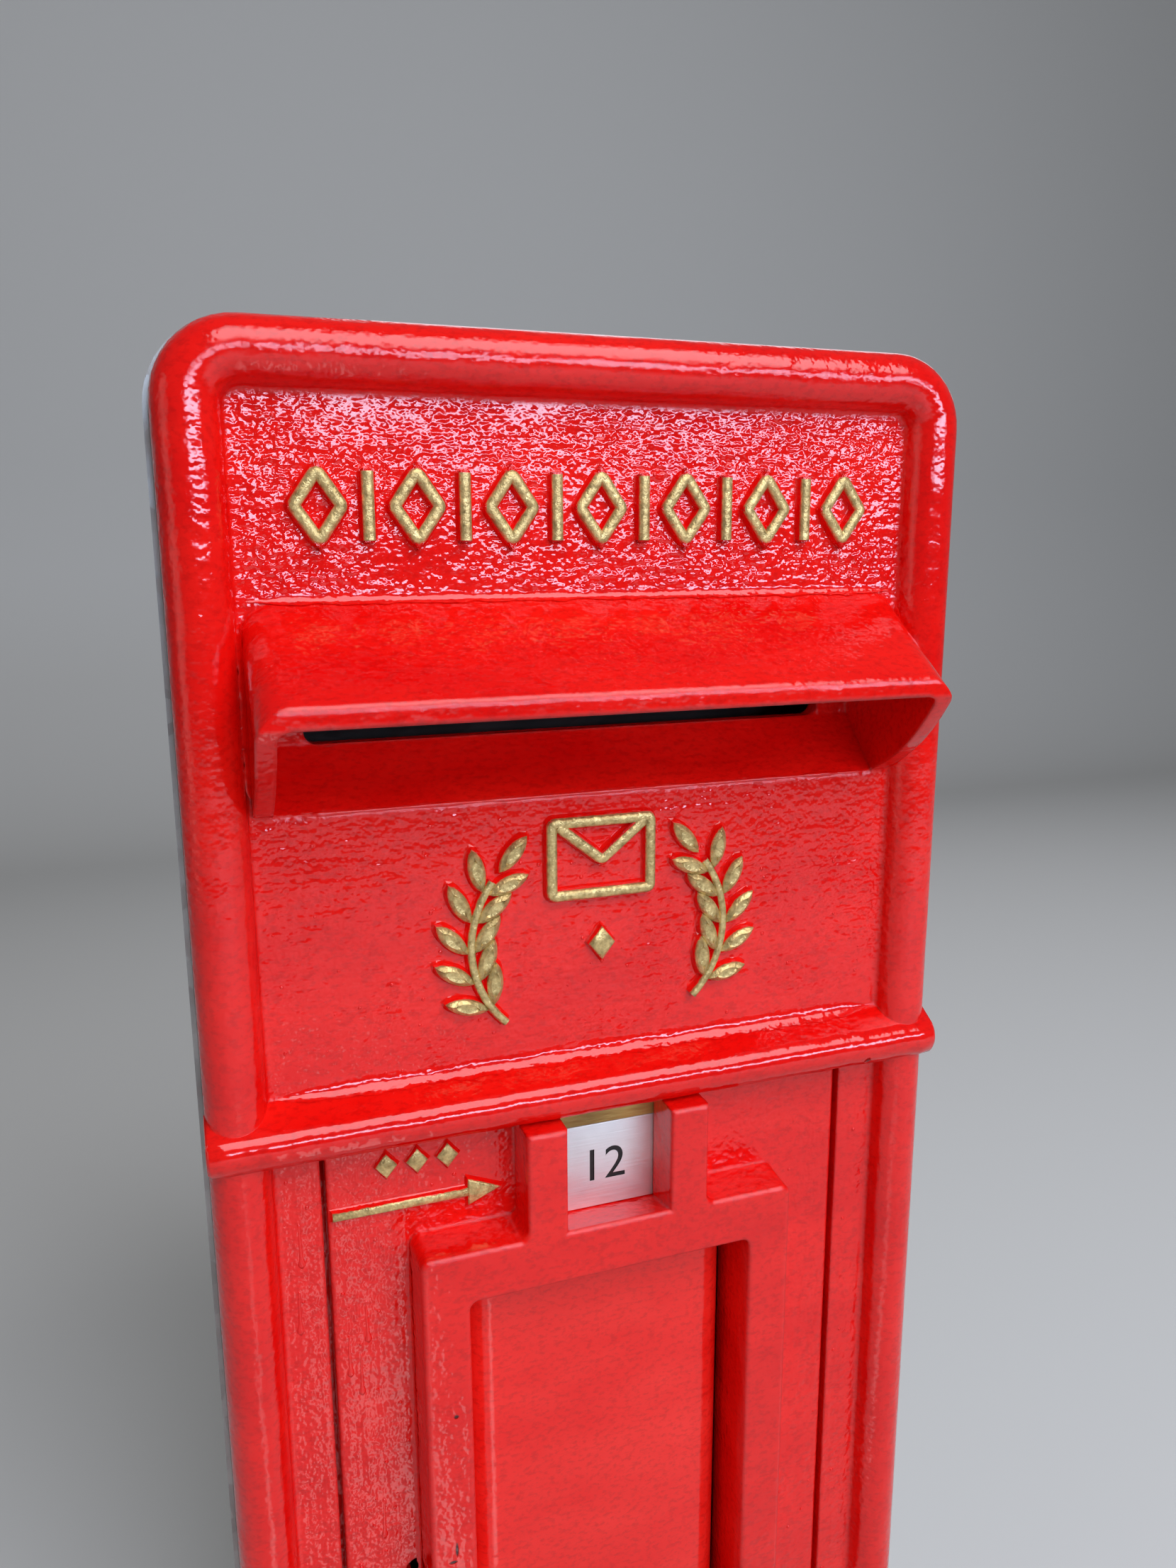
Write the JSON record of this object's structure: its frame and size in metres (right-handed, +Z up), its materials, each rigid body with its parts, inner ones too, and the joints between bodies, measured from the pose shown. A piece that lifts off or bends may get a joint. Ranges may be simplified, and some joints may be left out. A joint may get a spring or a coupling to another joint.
{
  "type": "wall mounted post box",
  "caption": "Upright wall post box with a cast iron front, hooded letter slot, raised gilt ornament, hinged locking door with a framed plate, and a folded steel body.",
  "frame": {"origin": "centre of the four wall holes, on the outer face of the back plate", "axes": "+Y into the wall, +Z up, +X to the right as seen from the street"},
  "size_m": [0.2598, 0.2005, 0.5834],
  "materials": {
    "red_enamel": "glossy red enamel on rough cast iron, with gilt raised ornament",
    "red_plate": "glossy red enamel on pressed steel",
    "steel_pin": "bright turned steel",
    "plated_steel": "zinc plated steel",
    "lock_steel": "pressed steel, dull",
    "galvanised_steel": "dull grey galvanised sheet",
    "aluminium_tablet": "brushed, with a plain engraved number",
    "brass": "rough sawn brass"
  },
  "bodies": {
    "box": {"front_casting": "red_enamel", "body_shell": "galvanised_steel", "back_plate": "galvanised_steel", "back_rivets": "plated_steel", "body_brackets": "galvanised_steel", "body_bolts": "plated_steel", "letter_baffle": "galvanised_steel", "baffle_screws": "plated_steel", "upper_hinge_pin": "steel_pin", "lower_hinge_pin": "steel_pin", "hinge_washer": "brass", "lock_keep": "plated_steel", "keep_screws": "plated_steel"},
    "door": {"front_door": "red_enamel", "collection_plate": "red_plate", "plate_clips": "plated_steel", "clip_screws": "plated_steel", "day_tablet": "aluminium_tablet", "tablet_holder": "brass", "holder_screws": "brass", "lock_case": "lock_steel", "lock_cap": "lock_steel", "lock_spring": "steel_pin", "lock_screws": "plated_steel"},
    "bolt": {"lock_bolt": "brass"}
  },
  "joints": [
    {"name": "door_swing", "type": "hinge", "parent": "box", "child": "door", "pos_m": [0.0889, -0.1605, 0], "axis": [0, 0, 1], "range_deg": [0, 95]},
    {"name": "lock_bolt_slide", "type": "slide", "parent": "door", "child": "bolt", "axis": [-1, 0, 0], "range_m": [0, 0.01]}
  ]
}
